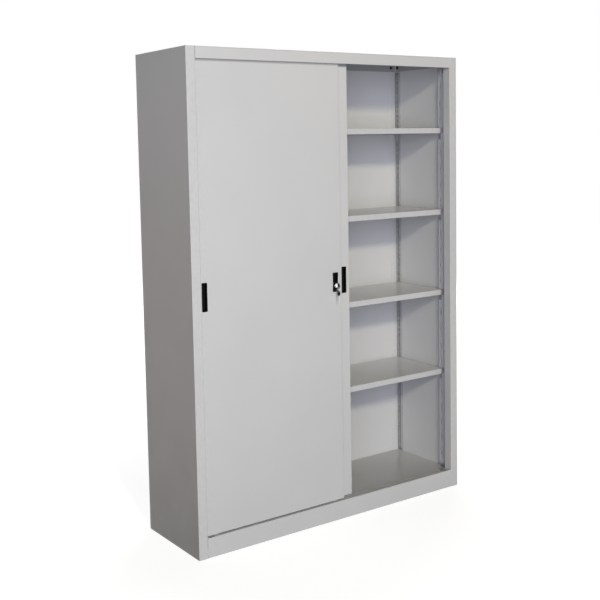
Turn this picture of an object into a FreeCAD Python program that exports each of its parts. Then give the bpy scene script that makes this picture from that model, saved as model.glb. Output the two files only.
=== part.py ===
import FreeCAD, Part
import math
import os

os.makedirs("parts", exist_ok=True)
Vector = FreeCAD.Vector

# Overall size, in mm. The origin is the middle of the floor area, X to the right, Y to the back, Z up.
width = 1400.0
depth = 410.0
height = 1980.0

# Sheet steel
sheet = 0.9
bend = 1.2

# Frame round the door opening
stile_width = 40.0
stile_return = 40.0
stile_clearance = 1.0
rear_flange = 34.0
foot_flange = 25.0
header_height = 46.0
header_lip = 6.0
header_fold = 30.0
top_flange = 34.0
plinth_height = 80.0
plinth_lip = 5.0
plinth_foot = 18.0
floor_height = 70.0
floor_flange = 30.0
frame_seam = 0.3
flange_end_gap = 8.0
back_panel_foot_gap = 4.0
back_panel_seam = 0.5

# Doors
door_recess = 8.0
door_thickness = 16.0
door_gap = 5.5
door_overlap = 56.0
door_side_gap = 1.5
door_floor_gap = 5.0
door_head_lap = 10.0
door_hem = 12.0
rear_door_offset = 61.0
stiffener_width = 70.0
stiffener_depth = 12.0
stiffener_foot = 14.0
stiffener_end_gap = 35.0

# Tracks and rollers
rail_width = 4.0
rail_height = 10.0
track_end_gap = 1.0
track_front_gap = 0.4
track_tail = 10.0
track_leg_gap = 2.0
channel_half_width = 7.0
roller_radius = 9.0
roller_flange_radius = 11.5
roller_half_width = 4.2
roller_groove_half = 2.4
roller_rail_gap = 0.3
roller_inset = 45.0
roller_slot_gap = 1.5
axle_radius = 2.0
axle_clearance = 0.05
bracket_sheet = 1.2
bracket_side_gap = 0.5
bracket_head_gap = 1.5
bracket_half_length = 14.0
bracket_foot = 14.0
guide_half_length = 20.0
guide_clearance = 0.6
guide_base_height = 3.0
guide_base_reach = 6.0
guide_rise = 17.0
guide_taper = 4.5
stop_length = 18.0
stop_height = 13.0
stop_half_width = 5.0
stop_chamfer = 2.0
stop_gap = 0.3

# Recessed pulls
pull_height = 113.0
pull_width = 25.0
pull_corner = 4.5
pull_bezel = 1.6
pull_rim = 3.4
pull_depth = 12.0
pull_wall = 1.4
pull_draft = 2.0
corner_steps = 4
pull_centre_height = 1028.0
front_pull_inset = 17.0
rear_pull_inset = 29.5
cut_gap = 0.3

# Lock
lock_height = 82.0
lock_width = 29.0
lock_waist = 1.6
lock_corner = 5.0
lock_plate_thickness = 2.5
lock_inset = 32.0
lock_centre_height = 1026.0
lock_pocket_height = 36.0
lock_pocket_width = 20.0
lock_pocket_rise = 18.5
lock_pocket_depth = 10.0
lock_pocket_corner = 3.5
lock_axis_drop = 14.0
collar_radius = 9.0
collar_height = 6.5
collar_chamfer = 0.8
barrel_radius = 8.0
barrel_clearance = 0.1
plug_radius = 6.0
plug_clearance = 0.05
plug_proud = 1.0
plug_square = 6.0
lock_nut_flats = 21.0
lock_nut_height = 5.0
cam_length = 26.0
cam_width = 14.0
cam_thickness = 2.0
cam_gap = 0.3
cam_screw_head_radius = 3.6
cam_screw_head_height = 0.8
strike_height = 14.0
strike_gap = 1.2
strike_lap = 1.0
strike_foot = 16.0
strike_sheet = 1.5

# Keys
blade_thickness = 1.7
blade_height = 7.4
blade_length = 20.0
keyway_clearance = 0.1
keyway_tip_gap = 1.5
blade_grip = 6.0
tooth_pitch = 3.4
tooth_start = 3.0
tooth_half_width = 1.6
tooth_depths = (1.2, 2.0, 1.5, 2.3)
key_neck = 1.0
head_length = 17.0
head_height = 22.0
head_thickness = 3.6
head_corner = 5.0
ring_hole_radius = 3.2
ring_hole_inset = 5.0
ring_hole_reach = 11.5
ring_radius = 8.0
ring_wire = 0.7
ring_swing_play = 0.65
ring_spare_play = 0.33
spare_blade_length = 26.0

# Shelves
shelf_count = 4
first_shelf_top = 543.0
slot_pitch = 75.0
top_space = 290.0
shelf_lip = 25.0
shelf_hem = 12.0
shelf_setback = 78.0
shelf_back_gap = 3.0
shelf_end_gap = 2.0
beam_width = 60.0
beam_depth = 16.0
beam_foot = 12.0
beam_end_gap = 14.0
upright_width = 34.0
upright_depth = 5.0
upright_foot = 7.0
upright_front = 82.0
upright_back_gap = 2.0
upright_end_gap = 5.0
slot_width = 9.0
slot_height = 20.0
slot_margin = 60.0
clip_sheet = 1.5
clip_width = 16.0
clip_height = 28.0
clip_ledge = 14.0
clip_slot_drop = 14.0
clip_hook_width = 6.0
clip_hook_play = 0.2
clip_hook_drop = 6.0

# Fasteners
stud_height_drop = 15.0
side_stud_inset = 19.0
side_stud_front = 110.0
back_stud_inset = 28.0
nut_flats = 9.0
nut_height = 4.0
screw_flats = 8.0
screw_head_height = 2.0
screw_side_inset = 15.0
screw_end_inset = 110.0
screws_per_side = 6
row_screw_spacing = 400.0
row_screw_drop = 15.0

# Derived positions
front = -depth / 2
back = depth / 2
half = width / 2
inner_half = half - sheet
opening_half = half - stile_width
header_bottom = height - header_height
flange_plane = back - 2 * sheet
door_width = opening_half - door_side_gap + door_overlap / 2
door_bottom = plinth_height + door_floor_gap
door_top = header_bottom + door_head_lap
guide_foot_top = door_top + guide_base_height
front_left = -opening_half + door_side_gap
front_right = front_left + door_width
rear_left = front_left + rear_door_offset
rear_right = rear_left + door_width
front_face = front + door_recess
front_mid = front_face + door_thickness / 2
front_rear = front_face + door_thickness
rear_face = front_rear + door_gap
rear_mid = rear_face + door_thickness / 2
rear_rear = rear_face + door_thickness
rail_top = floor_height + rail_height
roller_z = rail_top + roller_radius + roller_rail_gap
wall_face = -half + sheet
web_face = wall_face + upright_depth
shelf_half = -(web_face + shelf_end_gap)
shelf_room = height - top_space - first_shelf_top
shelf_spacing = slot_pitch * max(1, math.floor(shelf_room / (shelf_count - 1) / slot_pitch))
shelf_tops = [first_shelf_top + shelf_spacing * i for i in range(shelf_count)]


def box(x0, x1, y0, y1, z0, z1):
    """Block between two corners."""
    return Part.makeBox(x1 - x0, y1 - y0, z1 - z0, Vector(x0, y0, z0))


def rod(radius, start, end):
    """Round bar between two points."""
    a = Vector(*start)
    d = Vector(*end) - a
    return Part.makeCylinder(radius, d.Length, a, d)


def group(shapes):
    """Several separate solids kept as one piece list."""
    return Part.makeCompound(shapes)


def joined(shapes):
    """One solid from touching or crossing shapes."""
    out = shapes[0]
    for other in shapes[1:]:
        out = out.fuse(other)
    return out.removeSplitter()


def mirrored(shape):
    """The same piece on the other side of the middle plane."""
    return shape.mirror(Vector(0, 0, 0), Vector(1, 0, 0))


def placed(plane, at, u, v):
    """Point (u, v) of a section plane in space."""
    if plane == "xy":
        return Vector(u, v, at)
    if plane == "yz":
        return Vector(at, u, v)
    return Vector(u, at, v)


def run_direction(plane, length):
    """Vector along which a section of that plane is drawn out."""
    if plane == "xy":
        return Vector(0, 0, length)
    if plane == "yz":
        return Vector(length, 0, 0)
    return Vector(0, length, 0)


def rounded_path(points, thickness, radius, outer):
    """Lines and bend arcs of one face of a folded sheet, as ("line", a, b) and ("arc", a, m, b)."""
    parts = []
    here = points[0]
    for i in range(1, len(points) - 1):
        a, p, b = points[i - 1], points[i], points[i + 1]
        la = math.dist(a, p)
        lb = math.dist(p, b)
        da = ((p[0] - a[0]) / la, (p[1] - a[1]) / la)
        db = ((b[0] - p[0]) / lb, (b[1] - p[1]) / lb)
        cross = da[0] * db[1] - da[1] * db[0]
        r = radius + (thickness if (cross > 0) == outer else 0.0)
        turn = math.acos(max(-1.0, min(1.0, da[0] * db[0] + da[1] * db[1])))
        t = r * math.tan(turn / 2)
        start = (p[0] - da[0] * t, p[1] - da[1] * t)
        end = (p[0] + db[0] * t, p[1] + db[1] * t)
        side = 1.0 if cross > 0 else -1.0
        centre = (start[0] - da[1] * r * side, start[1] + da[0] * r * side)
        out = (p[0] - centre[0], p[1] - centre[1])
        k = r / math.hypot(*out)
        parts.append(("line", here, start))
        parts.append(("arc", start, (centre[0] + out[0] * k, centre[1] + out[1] * k), end))
        here = end
    parts.append(("line", here, points[-1]))
    return parts


def offset_points(points, thickness):
    """The path moved to its left by the sheet thickness, with mitred corners."""
    moved = []
    count = len(points)
    normals = []
    for a, b in zip(points, points[1:]):
        length = math.dist(a, b)
        normals.append((-(b[1] - a[1]) / length, (b[0] - a[0]) / length))
    for i, p in enumerate(points):
        n0 = normals[max(i - 1, 0)]
        n1 = normals[min(i, count - 2)]
        k = thickness / (1 + n0[0] * n1[0] + n0[1] * n1[1])
        moved.append((p[0] + (n0[0] + n1[0]) * k, p[1] + (n0[1] + n1[1]) * k))
    return moved


def folded(plane, points, at, length, thickness=sheet, radius=bend):
    """Sheet folded along a path, its thickness to the left of the path, drawn out by length.

    A radius of None gives the sharp folds of a narrow pressed section.
    """
    if radius is None:
        corners = points + offset_points(points, thickness)[::-1]
        outline = Part.makePolygon([placed(plane, at, *c) for c in corners + corners[:1]])
        return Part.Face(outline).extrude(run_direction(plane, length))
    ahead = rounded_path(points, thickness, radius, True)
    other = rounded_path(offset_points(points, thickness), thickness, radius, False)
    edges = []

    def add(kind, spots):
        spots = [placed(plane, at, *s) for s in spots]
        if kind == "line":
            if spots[0].distanceToPoint(spots[1]) > 1e-6:
                edges.append(Part.makeLine(*spots))
        else:
            edges.append(Part.Arc(*spots).toShape())

    for kind, *spots in ahead:
        add(kind, spots)
    add("line", [ahead[-1][-1], other[-1][-1]])
    for kind, *spots in reversed(other):
        add(kind, spots[::-1])
    add("line", [other[0][1], ahead[0][1]])
    face = Part.Face(Part.Wire(Part.__sortEdges__(edges)))
    return face.extrude(run_direction(plane, length))


def rounded_outline(x, z, wide, high, corner, y, waist=0.0):
    """Closed wire in a plane of constant Y: rectangle with round corners and slightly hollow long sides."""
    w, h, c = wide / 2, high / 2, corner
    d = c * (1 - math.sqrt(0.5))

    def spot(u, v):
        return Vector(x + u, y, z + v)

    edges = [
        Part.makeLine(spot(-w + c, h), spot(w - c, h)),
        Part.Arc(spot(w - c, h), spot(w - d, h - d), spot(w, h - c)).toShape(),
        Part.Arc(spot(w - c, -h), spot(w - d, -h + d), spot(w, -h + c)).toShape(),
        Part.makeLine(spot(-w + c, -h), spot(w - c, -h)),
        Part.Arc(spot(-w + c, -h), spot(-w + d, -h + d), spot(-w, -h + c)).toShape(),
        Part.Arc(spot(-w + c, h), spot(-w + d, h - d), spot(-w, h - c)).toShape(),
    ]
    if waist > 0:
        edges.append(Part.Arc(spot(w, h - c), spot(w - waist, 0), spot(w, -h + c)).toShape())
        edges.append(Part.Arc(spot(-w, h - c), spot(-w + waist, 0), spot(-w, -h + c)).toShape())
    else:
        edges.append(Part.makeLine(spot(w, h - c), spot(w, -h + c)))
        edges.append(Part.makeLine(spot(-w, h - c), spot(-w, -h + c)))
    return Part.Wire(Part.__sortEdges__(edges))


def slab(wire, length):
    """Outline in a plane of constant Y drawn out towards the back."""
    return Part.Face(wire).extrude(Vector(0, length, 0))


def facet_points(x, z, wide, high, corner, y):
    """Points round a rectangle in a plane of constant Y whose corners are turned in short straight steps."""
    spots = []
    for k, (sx, sz) in enumerate(((1, 1), (-1, 1), (-1, -1), (1, -1))):
        cx, cz = x + sx * (wide / 2 - corner), z + sz * (high / 2 - corner)
        for i in range(corner_steps + 1):
            t = math.radians(90 * (k + i / corner_steps))
            spots.append(Vector(cx + corner * math.cos(t), y, cz + corner * math.sin(t)))
    return spots


def cup_form(x, z, wide, high, corner, y, deep, draft):
    """Tapered pocket form from the plane y back by deep, closed by flat facets."""
    floor_corner = max(corner - draft / 2, 1.0)
    mouth = facet_points(x, z, wide, high, corner, y)
    floor = facet_points(x, z, wide - 2 * draft, high - 2 * draft, floor_corner, y + deep)
    faces = [Part.Face(Part.makePolygon(ring + ring[:1])) for ring in (mouth, floor)]
    for i in range(len(mouth)):
        j = (i + 1) % len(mouth)
        faces.append(Part.Face(Part.makePolygon([mouth[i], mouth[j], floor[j], floor[i], mouth[i]])))
    return Part.makeSolid(Part.makeShell(faces))


def hex_bar(flats, start, end):
    """Hexagonal bar between two points along X or Y."""
    r = flats / math.sqrt(3)
    a = Vector(*start)
    d = Vector(*end) - a
    corners = []
    for i in range(7):
        t = math.radians(60 * i + 30)
        if abs(d.x) > abs(d.y):
            corners.append(a + Vector(0, r * math.cos(t), r * math.sin(t)))
        else:
            corners.append(a + Vector(r * math.cos(t), 0, r * math.sin(t)))
    return Part.Face(Part.makePolygon(corners)).extrude(d)


def spun(profile, x, y, z):
    """Solid turned about a line along Y through (x, y, z), from (offset, radius) points."""
    spots = [Vector(x, y + o, z + r) for o, r in profile]
    face = Part.Face(Part.makePolygon(spots + [spots[0]]))
    return face.revolve(Vector(x, y, z), Vector(0, 1, 0), 360)


def save(name, shape):
    """Writes one piece, placed as in the finished cabinet."""
    shape.exportStep("parts/" + name + ".step")


# Fastener positions
stud_z = height - stud_height_drop
side_studs = [(front + side_stud_front, stud_z), (back - side_stud_inset, stud_z)]
back_studs = [(s * (half - back_stud_inset), stud_z) for s in (-1, 1)]
step = (height - 2 * screw_end_inset) / (screws_per_side - 1)
side_heights = [screw_end_inset + step * i for i in range(screws_per_side)]
side_screws = [(s * (half - screw_side_inset), z) for s in (-1, 1) for z in side_heights]
row_heights = (floor_height - row_screw_drop, height - row_screw_drop)
row_screws = [(row_screw_spacing * i, z) for z in row_heights for i in (-1, 0, 1)]


def side_panel():
    """Left side: rear flange, wall, stile and the return beside the doors in one folded sheet, with a foot flange."""
    path = [
        (-half + rear_flange, back - sheet),
        (-half, back - sheet),
        (-half, front),
        (-half + stile_width, front),
        (-half + stile_width, front + stile_return),
    ]
    wall = folded("xy", path, 0, height - sheet)
    y0, y1 = front + flange_end_gap, flange_plane - flange_end_gap
    foot = box(-half + sheet / 2, -half + foot_flange, y0, y1, 0, sheet)
    return joined([wall, foot])


def top_panel():
    """Top sheet over the sides, header folded down between the stiles, flanges inside the walls."""
    span = opening_half - frame_seam
    plate = box(-half, half, front, back, height - sheet, height)
    plate = plate.cut(box(-span, span, front - 1, front + header_fold, height - 2 * sheet, height + 1))
    path = [
        (front + header_fold, height),
        (front, height),
        (front, header_bottom),
        (front + header_lip, header_bottom),
    ]
    header = folded("yz", path, -span, 2 * span)
    low = height - top_flange
    side_y = (front + stile_return + flange_end_gap, flange_plane - flange_end_gap)
    left = box(-inner_half, -inner_half + sheet, side_y[0], side_y[1], low, height - sheet / 2)
    reach = inner_half - 2 * sheet
    rear = box(-reach, reach, flange_plane - sheet, flange_plane, low, height - sheet / 2)
    return joined([plate, header, left, mirrored(left), rear])


def base_panel():
    """Floor sheet with flanges turned down on all sides, cut back at the stiles."""
    top = floor_height
    narrow = opening_half - frame_seam
    notch = front + stile_return + stile_clearance
    main = box(-inner_half, inner_half, notch, flange_plane, top - sheet, top)
    edge = -inner_half + bend
    relief = box(-inner_half, edge, flange_plane - bend, flange_plane, top - 2 * sheet, top + 1)
    main = main.cut(group([relief, mirrored(relief)]))
    tongue = box(-narrow, narrow, front + sheet, notch + 1, top - sheet, top)
    low = top - floor_flange
    nose = box(-narrow, narrow, front + sheet, front + 2 * sheet, low, top - sheet / 2)
    side_y = (notch + flange_end_gap, flange_plane - flange_end_gap)
    left = box(-inner_half, -inner_half + sheet, side_y[0], side_y[1], low, top - sheet / 2)
    reach = inner_half - 2 * sheet
    rear = box(-reach, reach, flange_plane - sheet, flange_plane, low, top - sheet / 2)
    return joined([main, tongue, nose, left, mirrored(left), rear])


def plinth():
    """Kick panel between the stiles with a rolled top lip that ends on the floor sheet."""
    span = opening_half - frame_seam
    path = [
        (front + plinth_lip, floor_height),
        (front + plinth_lip, plinth_height),
        (front, plinth_height),
        (front, 0),
        (front + plinth_foot, 0),
    ]
    return folded("yz", path, -span, 2 * span)


def back_panel():
    """Rear sheet over the flanges of the sides."""
    edge = half - back_panel_seam
    return box(-edge, edge, back - sheet, back, back_panel_foot_gap, height - sheet - frame_seam)


def lower_track():
    """Two narrow raised rails pressed in one strip that lies on the floor sheet."""
    z = floor_height
    path = [(front + plinth_lip + track_front_gap, z)]
    for mid in (front_mid, rear_mid):
        low, high = mid - rail_width / 2 + sheet, mid + rail_width / 2 - sheet
        path += [(low, z), (low, rail_top - sheet), (high, rail_top - sheet), (high, z)]
    path.append((rear_rear + track_tail, z))
    span = opening_half - track_end_gap
    return folded("yz", path, -span, 2 * span, sheet, None)


def upper_track():
    """Double channel under the top sheet that the guides of both doors run in."""
    top = height - 2 * sheet
    low = guide_foot_top + track_leg_gap
    c = channel_half_width
    path = [
        (front_mid - c, low),
        (front_mid - c, top),
        (front_mid + c, top),
        (front_mid + c, low),
        (rear_mid - c, low),
        (rear_mid - c, top),
        (rear_mid + c, top),
        (rear_mid + c, low),
    ]
    span = opening_half - track_end_gap
    return folded("yz", path, -span, 2 * span, sheet, None)


def track_stops():
    """Rubber saddles on the rail ends that the rollers meet at the ends of their travel."""
    reach = opening_half - door_side_gap - roller_inset + roller_flange_radius + stop_gap
    z0 = floor_height + sheet
    z1 = z0 + stop_height
    w, r, c = stop_half_width, rail_width / 2, stop_chamfer
    outside = [(-w, z0), (-w, z1 - c), (-w + c, z1), (w - c, z1), (w, z1 - c), (w, z0)]
    outline = outside + [(r, z0), (r, rail_top), (-r, rail_top), (-r, z0)]
    pieces = []
    for mid in (front_mid, rear_mid):
        spots = [Vector(reach, mid + u, z) for u, z in outline + outline[:1]]
        saddle = Part.Face(Part.makePolygon(spots)).extrude(Vector(stop_length, 0, 0))
        pieces += [saddle, mirrored(saddle)]
    return group(pieces)


def upright(y0):
    """Slotted hat strip on the left wall, from y0 back by its width."""
    w = wall_face
    inside = web_face - sheet
    y1 = y0 + upright_width
    path = [
        (w, y1),
        (w, y1 - upright_foot),
        (inside, y1 - upright_foot),
        (inside, y0 + upright_foot),
        (w, y0 + upright_foot),
        (w, y0),
    ]
    z0 = floor_height + upright_end_gap
    z1 = height - top_flange - upright_end_gap
    strip = folded("xy", path, z0, z1 - z0, sheet, None)
    mid = y0 + upright_width / 2
    start = first_shelf_top - shelf_lip - clip_slot_drop
    low = math.ceil((z0 + slot_margin - start) / slot_pitch)
    high = math.floor((z1 - slot_margin - start) / slot_pitch)
    u, v = slot_width / 2, slot_height / 2
    slots = []
    for i in range(low, high + 1):
        z = start + slot_pitch * i
        slots.append(box(inside - 1, web_face + 1, mid - u, mid + u, z - v, z + v))
    return strip.cut(group(slots))


upright_starts = (front + upright_front, flange_plane - upright_back_gap - upright_width)


def shelf(top):
    """Tray shelf: deep lips with hems turned in below them along the length, flanges at the ends."""
    y0 = front + shelf_setback
    y1 = flange_plane - shelf_back_gap
    low = top - shelf_lip
    path = [(y0 + shelf_hem, low), (y0, low), (y0, top), (y0 + shelf_hem, top)]
    lip = folded("yz", path[::-1], -shelf_half, 2 * shelf_half)
    sheet_top = box(-shelf_half, shelf_half, y0 + shelf_hem - 1, y1 - shelf_hem + 1, top - sheet, top)
    rear_path = [(y1 - shelf_hem, low), (y1, low), (y1, top), (y1 - shelf_hem, top)]
    rear = folded("yz", rear_path, -shelf_half, 2 * shelf_half, sheet, None)
    pieces = [sheet_top, lip, rear]
    inset = bend + sheet
    edge = -shelf_half + shelf_hem
    path = [(edge, low), (-shelf_half, low), (-shelf_half, top), (edge, top)]
    end = folded("xz", path[::-1], y0 + inset, y1 - y0 - 2 * inset, sheet, None)
    return joined(pieces + [end, mirrored(end)])


def shelf_beam(top):
    """Hat shaped stiffener under the middle of a shelf."""
    mid = (front + shelf_setback + flange_plane - shelf_back_gap) / 2
    z = top - sheet
    w = beam_width / 2
    path = [
        (mid + w, z),
        (mid + w - beam_foot, z),
        (mid + w - beam_foot, z - beam_depth + sheet),
        (mid - w + beam_foot, z - beam_depth + sheet),
        (mid - w + beam_foot, z),
        (mid - w, z),
    ]
    span = shelf_half - beam_end_gap
    return folded("yz", path, -span, 2 * span, sheet, None)


def shelf_clip(top, y0):
    """Folded clip on the left wall: ledge under the shelf end, plate and a hook through the strip's slot."""
    z = top - shelf_lip
    mid = y0 + upright_width / 2
    path = [(web_face + clip_ledge, z), (web_face, z), (web_face, z - clip_height)]
    body = folded("xz", path, mid - clip_width / 2, clip_width, clip_sheet, None)
    slot = z - clip_slot_drop
    y = (mid - clip_hook_width / 2, mid + clip_hook_width / 2)
    behind = web_face - sheet - clip_hook_play
    low = slot - slot_height / 2 + clip_hook_play
    high = slot + slot_height / 4
    neck = box(behind, web_face + clip_sheet / 2, y[0], y[1], low, high)
    tongue = box(behind - clip_sheet, behind, y[0], y[1], low - clip_hook_drop, high)
    return joined([body, neck, tongue])


def shelf_clips():
    """All clips: four under every shelf."""
    pieces = []
    for top in shelf_tops:
        for y0 in upright_starts:
            piece = shelf_clip(top, y0)
            pieces += [piece, mirrored(piece)]
    return group(pieces)


def top_nuts():
    """Black hexagon cap nuts inside the flanges of the top, on studs of the sides."""
    pieces = []
    for x in (inner_half - sheet, sheet - inner_half):
        inward = x - math.copysign(nut_height, x)
        pieces += [hex_bar(nut_flats, (x, y, z), (inward, y, z)) for y, z in side_studs]
    y = flange_plane - sheet
    pieces += [hex_bar(nut_flats, (x, y, z), (x, y - nut_height, z)) for x, z in back_studs]
    return group(pieces)


def back_screws():
    """Hexagon heads of the sheet metal screws of the rear sheet."""
    spots = side_screws + row_screws
    return group([hex_bar(screw_flats, (x, back, z), (x, back + screw_head_height, z)) for x, z in spots])


def roller_spots(left):
    """X of the two rollers of a door."""
    return (left + roller_inset, left + door_width - roller_inset)


def door(left, face, pull_x):
    """Door skin folded back and hemmed at its upright edges, with end folds, roller slots and a pull hole."""
    right = left + door_width
    rear = face + door_thickness
    mid = face + door_thickness / 2
    relief = bend + sheet
    path = [(left + door_hem, rear), (left, rear), (left, face)]
    path += [(right, face), (right, rear), (right - door_hem, rear)]
    skin = folded("xy", path, door_bottom + relief, door_top - door_bottom - 2 * relief)
    span = door_width - 2 * relief
    low_path = [(face, door_bottom + 2 * relief), (face, door_bottom), (rear, door_bottom)]
    high_path = [(rear, door_top), (face, door_top), (face, door_top - 2 * relief)]
    body = joined([skin] + [folded("yz", fold, left + relief, span) for fold in (low_path, high_path)])
    cuts = []
    for x in roller_spots(left):
        reach = roller_flange_radius + roller_slot_gap
        side = roller_half_width + roller_slot_gap / 2
        z0, z1 = door_bottom - 1, door_bottom + sheet + 1
        cuts.append(box(x - reach, x + reach, mid - side, mid + side, z0, z1))
    wide, high = pull_width - 2 * pull_rim, pull_height - 2 * pull_rim
    g = 2 * cut_gap
    outline = rounded_outline(pull_x, pull_centre_height, wide + g, high + g, pull_corner, face - 1)
    cuts.append(slab(outline, 3 * sheet + 1))
    return body.cut(group(cuts))


def door_stiffener(left, face):
    """Upright hat strip welded inside the door sheet."""
    mid = left + door_width / 2
    w = stiffener_width / 2
    y = face + sheet
    path = [
        (mid - w, y),
        (mid - w + stiffener_foot, y),
        (mid - w + stiffener_foot, y + stiffener_depth - sheet),
        (mid + w - stiffener_foot, y + stiffener_depth - sheet),
        (mid + w - stiffener_foot, y),
        (mid + w, y),
    ]
    z0 = door_bottom + stiffener_end_gap
    return folded("xy", path, z0, door_top - stiffener_end_gap - z0, sheet, None)


def door_pull(x, face):
    """Recessed finger pull: rim on the sheet and a tapered cup behind it."""
    z = pull_centre_height
    rim = slab(rounded_outline(x, z, pull_width, pull_height, pull_corner, face - pull_bezel), pull_bezel)
    wide, high = pull_width - 2 * pull_rim, pull_height - 2 * pull_rim
    outer = cup_form(x, z, wide, high, pull_corner, face, pull_depth, pull_draft)
    w = pull_wall
    corner = pull_corner - w / 2
    deep = pull_bezel + pull_depth - w
    inner = cup_form(x, z, wide - 2 * w, high - 2 * w, corner, face - pull_bezel, deep, pull_draft)
    return joined([rim, outer]).cut(inner)


def roller_bracket(x, mid):
    """Saddle over a roller, standing on the bottom fold of the door."""
    z0 = door_bottom + sheet
    top = roller_z + roller_flange_radius + bracket_head_gap + bracket_sheet
    w = roller_half_width + bracket_side_gap + bracket_sheet
    path = [(mid + w, z0), (mid + w, top), (mid - w, top), (mid - w, z0)]
    saddle = folded("yz", path, x - bracket_half_length, 2 * bracket_half_length, bracket_sheet, None)
    feet = []
    for s in (-1, 1):
        a, b = sorted((x + s * (bracket_half_length - 1), x + s * (bracket_half_length + bracket_foot)))
        feet.append(box(a, b, mid - w, mid + w, z0, z0 + bracket_sheet))
    return joined([saddle] + feet)


def roller_axle(x, mid):
    """Pin between the cheeks of a bracket that its roller turns on."""
    w = roller_half_width + bracket_side_gap
    return rod(axle_radius, (x, mid - w, roller_z), (x, mid + w, roller_z))


def roller(x, mid):
    """Grooved wheel that straddles its rail."""
    w, g = roller_half_width, roller_groove_half
    bore = axle_radius + axle_clearance
    side = [(w, bore), (w, roller_flange_radius), (g, roller_flange_radius), (g, roller_radius)]
    profile = [(-o, r) for o, r in side] + side[::-1]
    return spun(profile, x, mid, roller_z)


def door_guide(x, mid):
    """Guide on the top fold of a door: a foot plate and a fin with tapered ends inside the upper channel."""
    w = channel_half_width - guide_clearance
    z0 = guide_foot_top
    reach = guide_half_length + guide_base_reach
    base = box(x - reach, x + reach, mid - w, mid + w, door_top, z0)
    a, b, c = x - guide_half_length, x + guide_half_length, guide_taper
    outline = [(a, -w + c), (a + c, -w), (b - c, -w), (b, -w + c), (b, w - c), (b - c, w), (a + c, w), (a, w - c)]
    spots = [Vector(u, mid + v, z0 - 1) for u, v in outline + outline[:1]]
    fin = Part.Face(Part.makePolygon(spots)).extrude(Vector(0, 0, guide_rise + 1))
    return joined([base, fin])


front_pull_x = front_left + front_pull_inset
rear_pull_x = rear_right - rear_pull_inset
lock_x = front_right - lock_inset
lock_z = lock_centre_height - lock_axis_drop
plate_face = front_face - lock_plate_thickness
collar_face = plate_face - collar_height
plug_face = collar_face - plug_proud
cam_face = front_rear + cam_gap
pocket_z = lock_centre_height + lock_pocket_rise


def front_door():
    """Front door with the further cut-outs of the lock plate."""
    body = door(front_left, front_face, front_pull_x)
    high, wide = lock_pocket_height + 2 * cut_gap, lock_pocket_width + 2 * cut_gap
    outline = rounded_outline(lock_x, pocket_z, wide, high, lock_pocket_corner, front_face - 1)
    pocket = slab(outline, 3 * sheet + 1)
    radius = barrel_radius + barrel_clearance
    hole = rod(radius, (lock_x, front_face - 1, lock_z), (lock_x, front_face + 2 * sheet, lock_z))
    return body.cut(group([pocket, hole]))


def lock_plate():
    """Waisted plate with a finger pocket above and the barrel hole below."""
    z = lock_centre_height
    outline = rounded_outline(lock_x, z, lock_width, lock_height, lock_corner, plate_face, lock_waist)
    rim = slab(outline, lock_plate_thickness)
    wide, high, w = lock_pocket_width, lock_pocket_height, pull_wall
    corner = lock_pocket_corner
    outer = cup_form(lock_x, pocket_z, wide, high, corner, front_face, lock_pocket_depth, pull_draft)
    deep = lock_plate_thickness + lock_pocket_depth - w
    corner -= w / 2
    inner = cup_form(lock_x, pocket_z, wide - 2 * w, high - 2 * w, corner, plate_face, deep, pull_draft)
    radius = barrel_radius + barrel_clearance
    hole = rod(radius, (lock_x, plate_face - 1, lock_z), (lock_x, front_face + 1, lock_z))
    return joined([rim, outer]).cut(inner).cut(hole)


def lock_barrel():
    """Collar in front of the plate and the barrel through the door, bored for the plug."""
    bore = plug_radius + plug_clearance
    end = front_rear - plate_face
    c = collar_chamfer
    profile = [
        (-collar_height, bore),
        (-collar_height, collar_radius - c),
        (-collar_height + c, collar_radius),
        (0, collar_radius),
        (0, barrel_radius),
        (end, barrel_radius),
        (end, bore),
    ]
    return spun(profile, lock_x, plate_face, lock_z)


def lock_nut():
    """Hexagon nut that clamps the barrel to the door sheet."""
    y0 = front_face + sheet
    nut = hex_bar(lock_nut_flats, (lock_x, y0, lock_z), (lock_x, y0 + lock_nut_height, lock_z))
    return nut.cut(rod(barrel_radius, (lock_x, y0 - 1, lock_z), (lock_x, y0 + lock_nut_height + 1, lock_z)))


def lock_plug():
    """Turning plug with its keyway in front and a square end for the cam."""
    body = rod(plug_radius, (lock_x, plug_face, lock_z), (lock_x, cam_face, lock_z))
    s = plug_square / 2
    end = cam_face + cam_thickness
    body = joined([body, box(lock_x - s, lock_x + s, cam_face - 1, end, lock_z - s, lock_z + s)])
    t = blade_thickness / 2 + keyway_clearance
    h = blade_height / 2 + keyway_clearance
    keyway = box(lock_x - t, lock_x + t, plug_face - 1, plug_face + blade_length, lock_z - h, lock_z + h)
    return body.cut(keyway)


def lock_cam():
    """Flat cam behind the door that points right while the lock is open."""
    r = cam_width / 2
    y = cam_face
    arm = box(lock_x, lock_x + cam_length - r, y, y + cam_thickness, lock_z - r, lock_z + r)
    hub = rod(r, (lock_x, y, lock_z), (lock_x, y + cam_thickness, lock_z))
    tip = rod(r, (lock_x + cam_length - r, y, lock_z), (lock_x + cam_length - r, y + cam_thickness, lock_z))
    s = plug_square / 2
    hole = box(lock_x - s, lock_x + s, y - 1, y + cam_thickness + 1, lock_z - s, lock_z + s)
    return joined([arm, hub, tip]).cut(hole)


def cam_screw():
    """Head of the screw that holds the cam on the plug."""
    end = cam_face + cam_thickness
    return rod(cam_screw_head_radius, (lock_x, end, lock_z), (lock_x, end + cam_screw_head_height, lock_z))


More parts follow.
